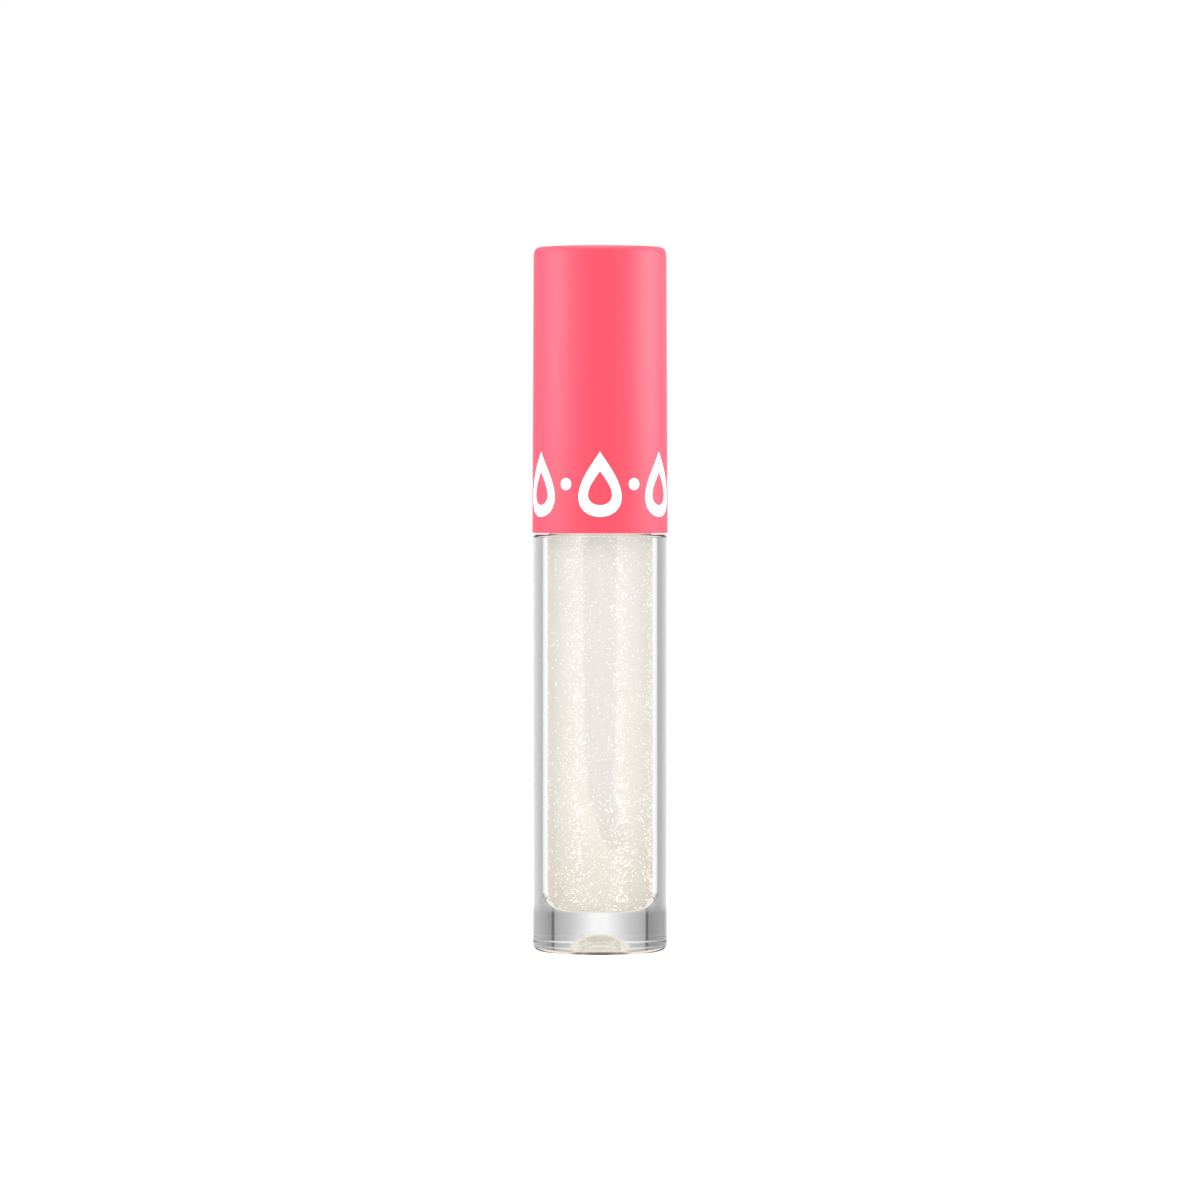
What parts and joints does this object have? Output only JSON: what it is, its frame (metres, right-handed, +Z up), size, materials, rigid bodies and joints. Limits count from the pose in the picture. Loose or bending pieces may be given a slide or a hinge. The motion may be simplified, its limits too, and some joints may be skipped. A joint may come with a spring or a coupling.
{
  "type": "lip gloss tube",
  "caption": "Slim round lip gloss bottle with a thick clear wall, a screw cap, a wiper and a doe-foot applicator wand.",
  "frame": {"origin": "centre of the bottle's base, on the surface it stands on", "axes": "+Z up along the bottle's axis, towards the cap; the tip leans towards +X"},
  "size_m": [0.0172, 0.0172, 0.089],
  "materials": {
    "clear_bottle": "polished clear",
    "gel": "wet pearl with glitter",
    "wiper_plastic": "natural LDPE",
    "soft_touch_pink": "soft-touch matte",
    "white_ink": "screen-printed ink",
    "insert_plastic": "natural PP",
    "foam_liner": "closed-cell foam",
    "stem_plastic": "milky PP",
    "soft_core": "moulded elastomer",
    "flock": "short nylon flock"
  },
  "bodies": {
    "bottle": {"bottle": "clear_bottle", "wiper": "wiper_plastic"},
    "gloss": {"gloss_gel": "gel"},
    "liner": {"cap_gasket": "foam_liner"},
    "cap": {"cap_shell": "soft_touch_pink", "cap_print": "white_ink", "cap_insert": "insert_plastic", "wand_stem": "stem_plastic", "tip_core": "soft_core", "tip_flock": "flock"}
  },
  "joints": [
    {"name": "cap_turn", "type": "hinge", "parent": "bottle", "child": "gloss", "pos_m": [0, 0, 0], "axis": [0, 0, 1], "range_deg": [0, 450]},
    {"name": "wand_draw", "type": "slide", "parent": "gloss", "child": "liner", "axis": [0, 0, 1], "range_m": [0, 0.06], "deforming": ["wiper"]},
    {"name": "cap_rise", "type": "slide", "parent": "liner", "child": "cap", "axis": [0, 0, 1], "range_m": [0, 0.00265]}
  ],
  "couplings": [
    {"joint": "cap_rise", "follows": "cap_turn", "m_per_rad": 0.00033693}
  ]
}
